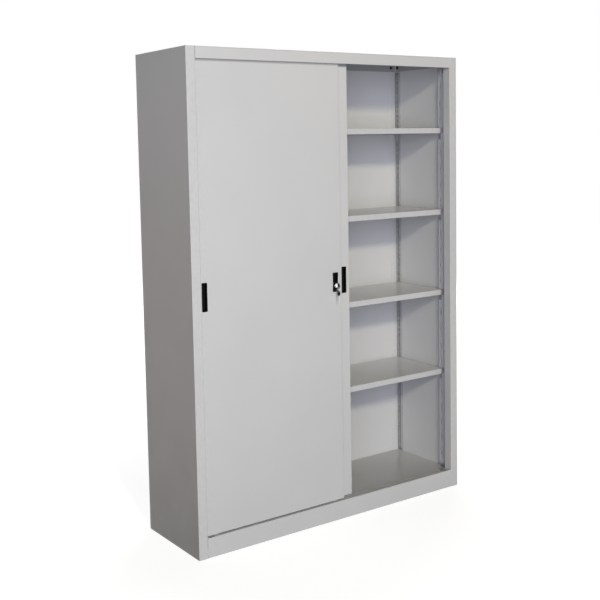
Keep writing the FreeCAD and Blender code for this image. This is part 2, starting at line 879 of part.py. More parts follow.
def rear_door_strike():
    """Folded stop on the rear door that the raised cam meets when both doors are shut."""
    shut = 2 * (opening_half - door_side_gap) - door_width - rear_door_offset
    x = lock_x + cam_width / 2 + strike_gap - shut
    z = lock_z + cam_length - strike_height - strike_lap
    reach = door_gap - strike_gap
    path = [(x + strike_foot, rear_face), (x, rear_face), (x, rear_face - reach)]
    return folded("xy", path, z, strike_height, strike_sheet, None)


head_start = plug_face - key_neck
hole_y = head_start - ring_hole_reach
hole_z = lock_z - head_height / 2 + ring_hole_inset
ring_top = hole_z - ring_hole_radius + ring_wire + ring_swing_play
ring_z = ring_top - ring_radius
spare_hole_z = ring_z - ring_radius - ring_hole_radius + ring_wire + ring_spare_play


def key_plate(y0, y1, z0, z1):
    """Flat key head across X with round corners."""
    t = head_thickness / 2
    block = box(lock_x - t, lock_x + t, y0, y1, z0, z1)
    corners = [e for e in block.Edges if abs(e.Length - head_thickness) < 1e-6]
    return block.makeFillet(head_corner, corners)


def key_head():
    """Plastic head of the key in the lock, with its ring hole near the lower corner."""
    low = lock_z - head_height / 2
    body = key_plate(head_start - head_length, head_start, low, low + head_height)
    hole = rod(ring_hole_radius, (lock_x - 10, hole_y, hole_z), (lock_x + 10, hole_y, hole_z))
    t, h = blade_thickness / 2, blade_height / 2
    socket = box(lock_x - t, lock_x + t, head_start - blade_grip, head_start + 1, lock_z - h, lock_z + h)
    return body.cut(hole).cut(socket)


def tooth_notches(along, across, from_tip, edge):
    """V notches of a blade's cut edge, from its tip on; along and across are the blade's directions in the YZ plane."""
    notches = []
    for i, depth in enumerate(tooth_depths):
        s = from_tip + tooth_start + tooth_pitch * i
        corners = [(s - tooth_half_width, edge), (s, edge - depth), (s + tooth_half_width, edge)]
        spots = [along * a + across * b + Vector(lock_x - head_thickness, 0, 0) for a, b in corners + corners[:1]]
        notches.append(Part.Face(Part.makePolygon(spots)).extrude(Vector(2 * head_thickness, 0, 0)))
    return group(notches)


def key_blade():
    """Steel blade of the key, in the keyway and moulded into the head, with its cut teeth."""
    t, h = blade_thickness / 2, blade_height / 2
    tip = plug_face + blade_length - keyway_tip_gap
    body = box(lock_x - t, lock_x + t, head_start - blade_grip, tip, lock_z - h, lock_z + h)
    return body.cut(tooth_notches(Vector(0, -1, 0), Vector(0, 0, 1), -tip, lock_z + h))


def key_ring():
    """Flat section ring through both key heads."""
    w = ring_wire
    r = ring_radius
    return spun([(-w, r - w), (-w, r + w), (w, r + w), (w, r - w)], lock_x, hole_y, ring_z)


def spare_key_head():
    """Plastic head of the key that hangs on the ring."""
    z1 = spare_hole_z + ring_hole_inset
    y = (hole_y - head_length / 2, hole_y + head_length / 2)
    body = key_plate(y[0], y[1], z1 - head_height, z1)
    hole = rod(ring_hole_radius, (lock_x - 10, hole_y, spare_hole_z), (lock_x + 10, hole_y, spare_hole_z))
    t, h = blade_thickness / 2, blade_height / 2
    low = z1 - head_height
    socket = box(lock_x - t, lock_x + t, hole_y - h, hole_y + h, low - 1, low + blade_grip)
    return body.cut(hole).cut(socket)


def spare_key_blade():
    """Steel blade of the hanging key with its cut teeth."""
    t, h = blade_thickness / 2, blade_height / 2
    head_low = spare_hole_z + ring_hole_inset - head_height
    tip = head_low - spare_blade_length
    body = box(lock_x - t, lock_x + t, hole_y - h, hole_y + h, tip, head_low + blade_grip)
    return body.cut(tooth_notches(Vector(0, 0, 1), Vector(0, 1, 0), tip, hole_y + h))


side = side_panel()
save("left_side_panel", side)
save("right_side_panel", mirrored(side))
save("top_panel", top_panel())
save("base_panel", base_panel())
save("plinth", plinth())
save("back_panel", back_panel())
save("lower_track", lower_track())
save("upper_track", upper_track())
save("track_stops", track_stops())
for word, y0 in zip(("front", "rear"), upright_starts):
    strip = upright(y0)
    save("shelf_upright_" + word + "_left", strip)
    save("shelf_upright_" + word + "_right", mirrored(strip))
for i, top in enumerate(shelf_tops):
    save("shelf_" + str(i + 1), shelf(top))
save("shelf_stiffeners", group([shelf_beam(top) for top in shelf_tops]))
save("shelf_clips", shelf_clips())
save("top_nuts", top_nuts())
save("back_screws", back_screws())

save("front_door", front_door())
save("rear_door", door(rear_left, rear_face, rear_pull_x))
for word, left, face, mid, pull_x in (
    ("front", front_left, front_face, front_mid, front_pull_x),
    ("rear", rear_left, rear_face, rear_mid, rear_pull_x),
):
    spots = roller_spots(left)
    save(word + "_door_stiffener", door_stiffener(left, face))
    save(word + "_door_pull", door_pull(pull_x, face))
    save(word + "_roller_brackets", group([roller_bracket(x, mid) for x in spots]))
    save(word + "_roller_axles", group([roller_axle(x, mid) for x in spots]))
    save(word + "_door_guides", group([door_guide(x, mid) for x in spots]))
    save(word + "_roller_left", roller(spots[0], mid))
    save(word + "_roller_right", roller(spots[1], mid))
save("lock_plate", lock_plate())
save("lock_barrel", lock_barrel())
save("lock_nut", lock_nut())
save("lock_plug", lock_plug())
save("lock_cam", lock_cam())
save("cam_screw", cam_screw())
save("rear_door_strike", rear_door_strike())
save("key_head", key_head())
save("key_blade", key_blade())
save("key_ring", key_ring())
save("spare_key_head", spare_key_head())
save("spare_key_blade", spare_key_blade())
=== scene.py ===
import math

import bmesh
import bpy
import numpy as np
from mathutils import Matrix


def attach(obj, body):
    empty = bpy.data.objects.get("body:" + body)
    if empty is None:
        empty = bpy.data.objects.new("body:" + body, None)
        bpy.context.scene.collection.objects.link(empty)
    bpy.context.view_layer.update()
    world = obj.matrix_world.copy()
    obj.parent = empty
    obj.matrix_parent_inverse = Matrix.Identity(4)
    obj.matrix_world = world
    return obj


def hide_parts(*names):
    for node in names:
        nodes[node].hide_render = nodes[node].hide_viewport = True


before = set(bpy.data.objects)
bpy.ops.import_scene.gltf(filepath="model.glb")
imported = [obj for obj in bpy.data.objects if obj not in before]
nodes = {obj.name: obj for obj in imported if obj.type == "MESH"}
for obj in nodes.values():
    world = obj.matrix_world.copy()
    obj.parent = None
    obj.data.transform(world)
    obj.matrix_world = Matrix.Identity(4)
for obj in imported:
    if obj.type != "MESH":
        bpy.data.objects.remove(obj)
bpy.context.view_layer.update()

MM = 0.001
FULL_TURN = 2 * math.pi
UPWARD = np.array([0.0, 0.0, 1.0])
scene = bpy.context.scene
scene.view_settings.view_transform = "Standard"

# Places and sizes on the cabinet in mm, the same as in the part's own frame
DOOR_FACE = -197.0
REAR_DOOR_FACE = -175.5
FRONT_PULL = (-641.5, 1028.0)
REAR_PULL = (59.5, 1028.0)
LOCK_X = -4.0
LOCK_Z = 1012.0
PLATE_FACE = -199.5
COLLAR_FRONT = PLATE_FACE - 6.5
BARREL_END = -181.0
KEY_MIDDLE = (-219.0, 1012.0)
KEY_HOLE = (-219.5, 1006.0)
SPARE_MIDDLE = (-219.5, 979.98)
SPARE_HOLE = (-219.5, 985.98)
RING_Y = -219.5
RING_Z = 996.15
SHEET = 0.9
WALL_INSIDE = 699.1
STRIP_LOW = 75.0
STRIP_HIGH = 1941.0
CABINET_HEIGHT = 1980.0
REAR_FACE = 205.0
FASTENER_Z = 1965.0
SIDE_NUT_X = 698.2
SIDE_NUT_Y = (-95.0, 186.0)
REAR_NUT_X = 672.0
REAR_NUT_Y = 202.3
SCREW_X = 685.0
SCREW_END_GAP = 110.0
SCREW_STEPS = 5
ROW_SCREW_X = (-400.0, 0.0, 400.0)
ROW_SCREW_Z = (55.0, FASTENER_Z)


# Meshes worked out as arrays

def mesh_piece(name, points, faces, smooth=True):
    """Object at the origin from points in mm, shape (n, 3), and a list or array of faces."""
    mesh = bpy.data.meshes.new(name)
    faces = [list(map(int, face)) for face in faces]
    mesh.from_pydata((np.asarray(points, float) * MM).tolist(), [], faces)
    mesh.update()
    made = bpy.data.objects.new(name, mesh)
    scene.collection.objects.link(made)
    mesh.polygons.foreach_set("use_smooth", np.full(len(mesh.polygons), smooth))
    return made


def grid_faces(rows, columns, close_rows=False, close_columns=True, start=0):
    """Four-sided faces between neighbours of a grid of points, row by row."""
    row_steps = np.arange(rows if close_rows else rows - 1)
    column_steps = np.arange(columns if close_columns else columns - 1)
    row, column = np.meshgrid(row_steps, column_steps, indexing="ij")
    next_row = (row + 1) % rows
    next_column = (column + 1) % columns
    corners = [
        row * columns + column,
        row * columns + next_column,
        next_row * columns + next_column,
        next_row * columns + column,
    ]
    return np.stack(corners, -1).reshape(-1, 4) + start


def tidy_shell(piece, distance=0.002):
    """Merges points that lie on each other and turns the faces of the closed shell outwards."""
    work = bmesh.new()
    work.from_mesh(piece.data)
    bmesh.ops.remove_doubles(work, verts=work.verts, dist=distance * MM)
    bmesh.ops.dissolve_degenerate(work, edges=work.edges, dist=distance * MM / 4)
    bmesh.ops.recalc_face_normals(work, faces=work.faces)
    work.to_mesh(piece.data)
    work.free()
    return piece


def sharp_over(piece, degrees):
    """Shades the piece smooth except across folds sharper than the given angle."""
    mesh = piece.data
    mesh.polygons.foreach_set("use_smooth", np.full(len(mesh.polygons), True))
    mesh.set_sharp_from_angle(angle=math.radians(degrees))
    return piece


def rounded_edges(piece, width, angle, segments=3):
    """Rounds the edges of a piece that turn by more than an angle in degrees, by a width in mm."""
    rounding = piece.modifiers.new("rounding", "BEVEL")
    rounding.width = width * MM
    rounding.segments = segments
    rounding.limit_method = "ANGLE"
    rounding.angle_limit = math.radians(angle)
    rounding.harden_normals = True
    return piece


def rounded_line(points, radii, steps=5):
    """Open line whose inner corners are turned by arcs.

    At a corner the arc starts r * tan(turn / 2) before it; its points are the quadratic blend
    (1 - t)^2 * start + 2 t (1 - t) * corner + t^2 * end for t from 0 to 1.
    """
    points = np.asarray(points, float)
    pieces = [points[:1]]
    t = np.linspace(0, 1, steps + 1)[:, None]
    for before, corner, after, radius in zip(points, points[1:], points[2:], radii):
        to_before = (before - corner) / np.linalg.norm(before - corner)
        to_after = (after - corner) / np.linalg.norm(after - corner)
        turn = math.pi - math.acos(np.clip(to_before @ to_after, -1, 1))
        cut = radius * math.tan(turn / 2)
        start = corner + to_before * cut
        end = corner + to_after * cut
        pieces.append((1 - t) ** 2 * start + 2 * t * (1 - t) * corner + t ** 2 * end)
    pieces.append(points[-1:])
    return np.vstack(pieces)


def rectangle_rings(half_wide, half_high, corner, insets, least=0.6, steps=8):
    """Rings of a rectangle with round corners, one for each inset from its edge.

    Corner k is the arc centre_k + r * (cos a, sin a), a from 90 k to 90 k + 90 degrees, with
    r = max(corner - inset, least), held inside the ring's own half sizes, and the centre moved so that
    the sides lie inset inside the edge. The result has the shape (insets, 4 * (steps + 1), 2).
    """
    inset = np.asarray(insets, float)[:, None, None]
    quarter = np.arange(4)[:, None]
    angle = np.radians(90 * (quarter + np.linspace(0, 1, steps + 1)))[None]
    x_sign = np.array([1, -1, -1, 1])[None, :, None]
    z_sign = np.array([1, 1, -1, -1])[None, :, None]
    wide = np.maximum(half_wide - inset, 0)
    high = np.maximum(half_high - inset, 0)
    radius = np.minimum(np.maximum(corner - inset, least), np.minimum(wide, high))
    x = x_sign * (wide - radius) + radius * np.cos(angle)
    z = z_sign * (high - radius) + radius * np.sin(angle)
    return np.stack([x, z], -1).reshape(len(inset), -1, 2)


def moulded_pull(name, centre, face):
    """Recessed finger pull: one closed profile of (inset, depth) carried round a rounded rectangle.

    The profile runs from the middle of the cup floor up the draughted wall, over the soft lip and the
    crowned rim, back along the sheet and down the outside of the cup. Depth is measured from the door face.
    """
    half_wide, half_high, corner = 12.5, 56.5, 4.5
    inner_depth, outer_depth = 10.6, 12.0
    line = [
        (half_wide, inner_depth), (6.8, inner_depth), (4.8, -1.3), (2.6, -1.6), (0.0, -1.1), (0.0, 0.0),
        (3.4, 0.0), (5.4, outer_depth), (half_wide, outer_depth),
    ]
    profile = rounded_line(line, [2.2, 1.1, 2.0, 0.8, 0.05, 0.05, 1.2])
    rings = rectangle_rings(half_wide, half_high, corner, profile[:, 0])
    count = rings.shape[1]
    points = np.empty((len(profile), count, 3))
    points[..., 0] = centre[0] + rings[..., 0]
    points[..., 1] = face + profile[:, 1:2]
    points[..., 2] = centre[1] + rings[..., 1]
    piece = mesh_piece(name, points.reshape(-1, 3), grid_faces(len(profile), count))
    return sharp_over(tidy_shell(piece), 50)


def turned_ring(name, profile, x, z, count=72):
    """Closed profile of (y, radius) turned about the line along Y through (x, z)."""
    angle = np.linspace(0, FULL_TURN, count, endpoint=False)
    y, radius = np.asarray(profile, float).T
    points = np.empty((len(y), count, 3))
    points[..., 0] = x + radius[:, None] * np.cos(angle)
    points[..., 1] = y[:, None]
    points[..., 2] = z + radius[:, None] * np.sin(angle)
    piece = mesh_piece(name, points.reshape(-1, 3), grid_faces(len(y), count, close_rows=True))
    return sharp_over(tidy_shell(piece), 40)


def lock_collar():
    """Chromed collar and barrel, turned from one profile with soft front edges and a dished front face."""
    bore, barrel, collar = 6.05, 8.0, 9.0
    line = [
        (COLLAR_FRONT + 0.6, bore), (COLLAR_FRONT, 7.0), (COLLAR_FRONT, 8.3), (COLLAR_FRONT + 0.7, collar),
        (PLATE_FACE, collar), (PLATE_FACE, barrel), (BARREL_END, barrel), (BARREL_END, bore),
    ]
    profile = rounded_line(line, [0.5, 0.5, 0.5, 0.05, 0.05, 0.3])
    return turned_ring("lock_collar", profile, LOCK_X, LOCK_Z)


def key_bow(name, middle, hole, along, half_long, half_wide, narrow, count=72):
    """Egg shaped key bow across X with its ring hole.

    middle, hole and along are (y, z), and along points to the blade. Four loops over the angle a make the
    bow, each edge on both faces: the outline middle + along * L cos a + across * W f sin a with
    f = (1 - n ((1 + cos a) / 2)^1.5) / (1 - 0.28 n), where n is how far it narrows to the blade, and the
    hole hole + r (along cos a + across sin a).
    """
    half_thick, hole_radius = 1.8, 3.2
    angle = np.linspace(0, FULL_TURN, count, endpoint=False)[:, None]
    along = np.asarray(along, float)
    across = np.array([-along[1], along[0]])
    fullness = (1 - narrow * ((1 + np.cos(angle)) / 2) ** 1.5) / (1 - 0.28 * narrow)
    outline = np.asarray(middle) + along * half_long * np.cos(angle)
    outline = outline + across * half_wide * fullness * np.sin(angle)
    inner = np.asarray(hole) + hole_radius * (along * np.cos(angle) + across * np.sin(angle))
    points = np.empty((4, count, 3))
    points[..., 0] = LOCK_X + half_thick * np.array([1, 1, -1, -1])[:, None]
    points[..., 1:] = np.stack([inner, outline, outline, inner])
    piece = mesh_piece(name, points.reshape(-1, 3), grid_faces(4, count, close_rows=True))
    return rounded_edges(sharp_over(tidy_shell(piece), 40), 0.5, 40)


def wire_ring():
    """Split key ring: round wire along a flat helix of two turns.

    The line is (R cos a, p * a, R sin a) with a over just under two turns, and the wire section is a circle
    of radius w in the plane of the radius and Y, drawn in to a point at both ends.
    """
    ring_radius, wire = 8.0, 0.34
    angle = np.linspace(0.0, 3.88 * math.pi, 150) + math.radians(205)
    rise = np.linspace(-wire, wire, len(angle))
    section = np.linspace(0, FULL_TURN, 12, endpoint=False)
    order = np.arange(len(angle))
    size = wire * np.minimum(1, np.minimum(order, order[::-1]) / 2.0)
    radius = ring_radius + size[:, None] * np.cos(section)
    points = np.empty((len(angle), len(section), 3))
    points[..., 0] = LOCK_X + radius * np.cos(angle)[:, None]
    points[..., 1] = RING_Y + rise[:, None] + size[:, None] * np.sin(section)
    points[..., 2] = RING_Z + radius * np.sin(angle)[:, None]
    return tidy_shell(mesh_piece("wire_ring", points.reshape(-1, 3), grid_faces(len(angle), len(section))))


def slotted_strip(name, side, start, pitch, first, count, slot_half):
    """Hat section strip on a side wall (side is -1 or 1), punched with a row of slots.

    The web is a row of cells. A cell is a grid between its own edge (p, q) * cell and the slot
    (p', q') * slot_half, where (p, q) runs round the unit square and p' = p sqrt(1 - k q^2),
    q' = q sqrt(1 - k p^2) round the slot's corners. Flanks, feet and the plain ends of the web are grids
    over the same heights. The sheet gets its thickness from a modifier.
    """
    wide, foot, depth = 34.0, 7.0, 5.0
    side_steps, roundness = 6, 0.22
    loop = 4 * side_steps
    wall = side * (WALL_INSIDE - SHEET)
    web = side * (WALL_INSIDE - depth)

    run = np.linspace(-1, 1, side_steps + 1)[:-1]
    one = np.ones(side_steps)
    square_y = np.concatenate([run, one, -run, -one])
    square_z = np.concatenate([-one, run, one, -run])
    edge = np.stack([square_y * (wide / 2 - foot), square_z * pitch / 2])
    slot_y = square_y * np.sqrt(1 - roundness * square_z ** 2) * slot_half[0]
    slot_z = square_z * np.sqrt(1 - roundness * square_y ** 2) * slot_half[1]
    ring = np.stack([edge, np.stack([slot_y, slot_z])])
    centres = first + pitch * np.arange(count)
    cells = np.empty((count, 2, loop, 3))
    cells[..., 0] = web
    cells[..., 1] = start + wide / 2 + ring[None, :, 0]
    cells[..., 2] = centres[:, None, None] + ring[None, :, 1]

    row_steps = pitch / side_steps * np.arange(count * side_steps + 1)
    heights = np.concatenate([[STRIP_LOW], (first - pitch / 2) + row_steps, [STRIP_HIGH]])
    low_y, high_y = start + foot, start + wide - foot
    line = [(wall, start), (wall, low_y), (web, low_y), (web, high_y), (wall, high_y), (wall, start + wide)]
    bands = []
    for i in (0, 1, 3, 4):
        band = np.empty((2, len(heights), 3))
        band[..., :2] = np.array(line[i:i + 2])[:, None]
        band[..., 2] = heights
        bands.append(band)
    for ends in (heights[:2], heights[-2:]):
        band = np.empty((2, side_steps + 1, 3))
        band[..., 0] = web
        band[..., 1] = np.linspace(low_y, high_y, side_steps + 1)
        band[..., 2] = ends[:, None]
        bands.append(band)

    points = [cells.reshape(-1, 3)]
    faces = [grid_faces(2, loop, start=2 * loop * i) for i in range(count)]
    used = len(points[0])
    for band in bands:
        points.append(band.reshape(-1, 3))
        faces.append(grid_faces(2, band.shape[1], close_columns=False, start=used))
        used += len(points[-1])
    piece = tidy_shell(mesh_piece(name, np.vstack(points), np.vstack(faces)), 0.01)
    normals = np.empty(3 * len(piece.data.polygons))
    piece.data.polygons.foreach_get("normal", normals)
    if normals[0::3].sum() * side > 0:
        piece.data.flip_normals()
    sharp_over(piece, 30)
    sheet = piece.modifiers.new("sheet", "SOLIDIFY")
    sheet.thickness = SHEET * MM
    sheet.offset = -1.0
    sheet.use_even_offset = True
    return piece


def hexagon_heads(name, places, flats, profile, count=36):
    """Screw or nut heads of one shape at several places, each a spot and the way its head points.

    A head is a grid over the angle a and its profile (height, share of the hexagon, radius): the radius at
    a is the mix of a circle and the hexagon flats / 2 / cos(a - nearest flat), and height runs along the way.
    """
    sixth = FULL_TURN / 6
    angle = np.linspace(0, FULL_TURN, count, endpoint=False)
    hexagon = flats / 2 / np.cos((angle + sixth / 2) % sixth - sixth / 2)
    height, share, size = np.asarray(profile, float).T[..., None]
    radius = share * hexagon * (size / (flats / 2)) + (1 - share) * size
    across = (radius * np.cos(angle))[..., None]
    upward = (radius * np.sin(angle))[..., None] * UPWARD
    points = []
    faces = []
    for spot, way in places:
        side = np.array([0.0, 1.0, 0.0]) if way[0] else np.array([1.0, 0.0, 0.0])
        grid = np.asarray(spot) + height[..., None] * np.asarray(way, float) + across * side + upward
        faces.append(grid_faces(len(height), count, start=len(points) * len(height) * count))
        points.append(grid.reshape(-1, 3))
    piece = mesh_piece(name, np.vstack(points), np.vstack(faces))
    return sharp_over(tidy_shell(piece, 0.001), 35)


def softened(name, node, width):
    """Copy of a solid with its loose triangles merged, flat faces cleared and its edges rounded, in mm."""
    mesh = nodes[node].data.copy()
    mesh.name = name
    mesh.materials.clear()
    work = bmesh.new()
    work.from_mesh(mesh)
    bmesh.ops.remove_doubles(work, verts=work.verts, dist=0.002 * MM)
    bmesh.ops.dissolve_limit(work, angle_limit=math.radians(0.6), verts=work.verts, edges=work.edges)
    work.to_mesh(mesh)
    work.free()
    piece = bpy.data.objects.new(name, mesh)
    scene.collection.objects.link(piece)
    return rounded_edges(sharp_over(piece, 40), width, 35)


# Finishes

def put(tree, kind, inputs=None, **settings):
    """Adds a shader node; an input given as a socket is linked, any other value is set on the socket."""
    made = tree.nodes.new("ShaderNode" + kind)
    for key, value in settings.items():
        setattr(made, key, value)
    for key, value in (inputs or {}).items():
        if isinstance(value, bpy.types.NodeSocket):
            tree.links.new(value, made.inputs[key])
        else:
            made.inputs[key].default_value = value
    return made


def finish_base(name, values):
    """Finish with a bare surface shader; returns it with its tree, the shader and the Object coordinates."""
    material = bpy.data.materials.new(name)
    material.use_nodes = True
    tree = material.node_tree
    tree.nodes.clear()
    shader = put(tree, "BsdfPrincipled", values)
    put(tree, "OutputMaterial", {"Surface": shader.outputs["BSDF"]})
    place = put(tree, "TexCoord").outputs["Object"]
    return material, tree, shader, place


def connect(tree, shader, colour, rough, normal):
    """Links colour, roughness and bump to the surface shader."""
    for key, socket in (("Base Color", colour), ("Roughness", rough), ("Normal", normal)):
        tree.links.new(socket, shader.inputs[key])


def noise(tree, place, scale, detail, rough):
    """Factor of a noise of that many cells per metre."""
    inputs = {"Vector": place, "Scale": scale, "Detail": detail, "Roughness": rough}
    return put(tree, "TexNoise", inputs).outputs["Fac"]


def between(tree, factor, low, high, to_low, to_high):
    """Factor from low to high carried over to the range to_low to to_high, held at its ends."""
    inputs = {"Value": factor, "From Min": low, "From Max": high, "To Min": to_low, "To Max": to_high}
    return put(tree, "MapRange", inputs).outputs["Result"]


def mixed(tree, factor, first, second):
    """Colour between two others; each is a colour or a socket."""
    return put(tree, "Mix", {0: factor, 6: first, 7: second}, data_type="RGBA").outputs[2]


def maths(tree, operation, first, second=0.0):
    """One arithmetic step on two values or sockets."""
    return put(tree, "Math", {0: first, 1: second}, operation=operation).outputs[0]


def bumped(tree, height, strength, distance, below=None):
    """Bump of a height from 0 to 1 over a distance in metres, on top of another bump."""
    inputs = {"Height": height, "Strength": strength, "Distance": distance}
    if below is not None:
        inputs["Normal"] = below
    return put(tree, "Bump", inputs).outputs["Normal"]


def grey(level, red=1.0, green=1.0, blue=1.0):
    """Linear colour of an even grey with slight tints."""
    return (level * red, level * green, level * blue, 1.0)


def line_mask(tree, place, axis, at, width):
    """1 on the plane where a coordinate (0, 1 or 2) equals at, falling to 0 at width, all in mm."""
    value = put(tree, "SeparateXYZ", {"Vector": place}).outputs[axis]
    away = maths(tree, "ABSOLUTE", maths(tree, "SUBTRACT", value, at * MM))
    return between(tree, away, 0.0, width * MM, 1.0, 0.0)


def powder_coat(name, tone=0.60, rubbed=(), shade_lines=(), gloss=0.45, uneven=1.0, outer_floor_shade=None, under_top_shade=None):
    """Light grey powder coat: a fine orange peel skin on slightly uneven sheet.

    gloss is the mean roughness and uneven the share of its spread and of the bumps. rubbed lists
    (axis, place, width) of the planes near which hands and goods have polished the coat, and shade_lines
    lists (axis, place, width, share) of planes along which shade is painted as a darker line.
    outer_floor_shade is the distance from the middle of the outer faces, which are painted darker and warmer
    towards the floor as shade.
    under_top_shade is (front, top, share): behind that front and below that top the colour is painted darker
    as shade.
    """
    material, tree, shader, place = finish_base(name, {"Metallic": 0.0, "IOR": 1.5})
    split = put(tree, "SeparateXYZ", {"Vector": place})
    across, depth, height = split.outputs
    cloud = noise(tree, place, 2.6, 3.0, 0.55)
    speck = noise(tree, place, 950.0, 2.0, 0.6)
    light = grey(tone * 1.02, 1.0, 0.998, 0.992)
    dark = grey(tone * 0.975)
    colour = mixed(tree, between(tree, cloud, 0.3, 0.7, 0.0, 1.0), dark, light)
    colour = mixed(tree, between(tree, speck, 0.35, 0.7, 0.0, 0.10), colour, grey(tone * 0.80))
    spread, rubbed_share, polish = 0.05 * uneven, 0.16, 0.12
    rough = between(tree, noise(tree, place, 14.0, 4.0, 0.6), 0.25, 0.75, gloss - spread, gloss + spread)
    patch = between(tree, noise(tree, place, 55.0, 5.0, 0.65), 0.45, 0.62, 0.0, 1.0)
    for axis, at, width in rubbed:
        mask = maths(tree, "MULTIPLY", line_mask(tree, place, axis, at, width), patch)
        worn = grey(tone * 0.72, 1.0, 0.99, 0.96)
        colour = mixed(tree, maths(tree, "MULTIPLY", mask, rubbed_share), colour, worn)
        rough = maths(tree, "SUBTRACT", rough, maths(tree, "MULTIPLY", mask, polish))
    # Darker lines painted in as shade along folds, joints and under the header
    for axis, at, width, share in shade_lines:
        mask = line_mask(tree, place, axis, at, width)
        painted_shade_grey = grey(tone * 0.45, 1.0, 0.98, 0.95)
        colour = mixed(tree, maths(tree, "MULTIPLY", mask, share), colour, painted_shade_grey)
    # Painted shade: darker colour on the inner faces under the top, behind its front edge
    if under_top_shade is not None:
        front, top, share = under_top_shade
        behind = between(tree, depth, front * MM, (front + 2.0) * MM, 0.0, 1.0)
        below = between(tree, height, (top - 0.5) * MM, top * MM, 1.0, 0.0)
        colour = mixed(tree, maths(tree, "MULTIPLY", behind, below), colour, grey(tone * share))
    # Painted shade: the outer faces grow darker and warmer towards the floor
    if outer_floor_shade is not None:
        away = maths(tree, "ABSOLUTE", across)
        outside = between(tree, away, (outer_floor_shade - 0.4) * MM, (outer_floor_shade - 0.2) * MM, 0.0, 1.0)
        warm_shade_share = between(tree, height, 1.2, 1.9, 1.0, 0.25)
        painted_warm_shade = grey(tone, 1.03, 0.965, 0.92)
        colour = mixed(tree, maths(tree, "MULTIPLY", outside, warm_shade_share), colour, painted_warm_shade)
        floor_shade_share = between(tree, height, 0.05, 1.75, 0.98, 0.20)
        floor_shade_share = maths(tree, "MULTIPLY", floor_shade_share, between(tree, cloud, 0.2, 0.8, 0.85, 1.15))
        painted_floor_shade_grey = grey(tone * 0.52, 1.03, 0.97, 0.92)
        colour = mixed(tree, maths(tree, "MULTIPLY", outside, floor_shade_share), colour, painted_floor_shade_grey)
    wave = noise(tree, place, 1.7, 1.0, 0.4)
    peel = noise(tree, place, 520.0, 2.0, 0.45)
    normal = bumped(tree, wave, 0.5 * uneven, 0.0016)
    normal = bumped(tree, peel, 0.28 * uneven, 0.00016, normal)
    connect(tree, shader, colour, rough, normal)
    return material


def moulded_plastic(name, level, gloss):
    """Black moulded plastic with a fine grain and greyer, smoother places where it is touched."""
    values = {"Metallic": 0.0, "IOR": 1.49, "Specular IOR Level": 0.07}
    material, tree, shader, place = finish_base(name, values)
    grain = put(tree, "TexVoronoi", {"Vector": place, "Scale": 1900.0}).outputs["Distance"]
    touch = between(tree, noise(tree, place, 60.0, 4.0, 0.6), 0.45, 0.7, 0.0, 1.0)
    colour = mixed(tree, touch, grey(level, 1.0, 1.0, 1.03), grey(level * 1.9, 1.0, 1.0, 1.02))
    rough = between(tree, touch, 0.0, 1.0, gloss + 0.08, gloss - 0.04)
    connect(tree, shader, colour, rough, bumped(tree, grain, 0.35, 0.00008))
    return material


def bright_metal(name, tone, gloss, lines=None, tint=(1.0, 1.0, 1.0)):
    """Bare or plated metal: uneven brightness, fine scratches, and any turning lines about (x, z)."""
    material, tree, shader, place = finish_base(name, {"Metallic": 1.0})
    cloud = between(tree, noise(tree, place, 240.0, 4.0, 0.6), 0.3, 0.7, 0.0, 1.0)
    colour = mixed(tree, cloud, grey(tone * 0.86, *tint), grey(tone, *tint))
    rough = between(tree, noise(tree, place, 420.0, 4.0, 0.65), 0.3, 0.7, gloss * 0.75, gloss * 1.3)
    scratch = put(tree, "Mapping", {"Vector": place, "Scale": (1.0, 1.0, 0.06)}).outputs["Vector"]
    normal = bumped(tree, noise(tree, scratch, 2600.0, 2.0, 0.5), 0.18, 0.00005)
    if lines is not None:
        middle = (-lines[0] * MM, 0.0, -lines[1] * MM)
        centred = put(tree, "Mapping", {"Vector": place, "Location": middle}).outputs["Vector"]
        inputs = {"Vector": centred, "Scale": 900.0, "Distortion": 0.6, "Detail": 1.0}
        wave = put(tree, "TexWave", inputs, wave_type="RINGS", rings_direction="Y")
        normal = bumped(tree, wave.outputs["Fac"], 0.10, 0.00004, normal)
    connect(tree, shader, colour, rough, normal)
    return material


def soft_polymer(name, colour, gloss, grain):
    """Nylon or rubber: even body colour with faint mould flow and a grain of that many cells per metre."""
    material, tree, shader, place = finish_base(name, {"Metallic": 0.0, "IOR": 1.5})
    flow = noise(tree, place, 90.0, 3.0, 0.5)
    dark = tuple(part * 0.86 for part in colour[:3]) + (1.0,)
    tint = mixed(tree, between(tree, flow, 0.3, 0.7, 0.0, 1.0), dark, colour)
    rough = between(tree, flow, 0.3, 0.7, gloss + 0.06, gloss - 0.04)
    normal = bumped(tree, noise(tree, place, grain, 2.0, 0.5), 0.25, 0.0001)
    connect(tree, shader, tint, rough, normal)
    return material


def wear(material, *names):
    """Gives nodes of the solid model their finish."""
    for name in names:
        slots = nodes[name].data.materials
        slots.clear()
        slots.append(material)


def dress(piece, material, body, slot, *stands_for):
    """Gives a new piece its finish and the body it moves with, and hides the nodes it stands for; slot is not
    used.
    """
    piece.data.materials.clear()
    piece.data.materials.append(material)
    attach(piece, body)
    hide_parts(*stands_for)


frame_coat = powder_coat("frame_coat")
# Painted shade: a darker line along the header's top fold, and darker inner faces under the top
top_fold_shade_lines = [(2, 1977.4, 1.9, 0.3)]
top_coat = powder_coat("top_coat", shade_lines=top_fold_shade_lines, under_top_shade=(-196.0, 1979.0, 0.55))
side_rubbed = [(2, 0.0, 60.0), (1, -205.0, 5.0)]
# Painted shade: a darker line along the right side's outer front fold, and outer faces darker and warmer
# towards the floor
side_edge_shade_lines = [(0, 697.0, 2.3, 0.3)]
side_coat = powder_coat("side_coat", rubbed=side_rubbed, shade_lines=side_edge_shade_lines, outer_floor_shade=700.0)
plinth_rubbed = [(2, 0.0, 35.0), (2, 80.0, 6.0)]
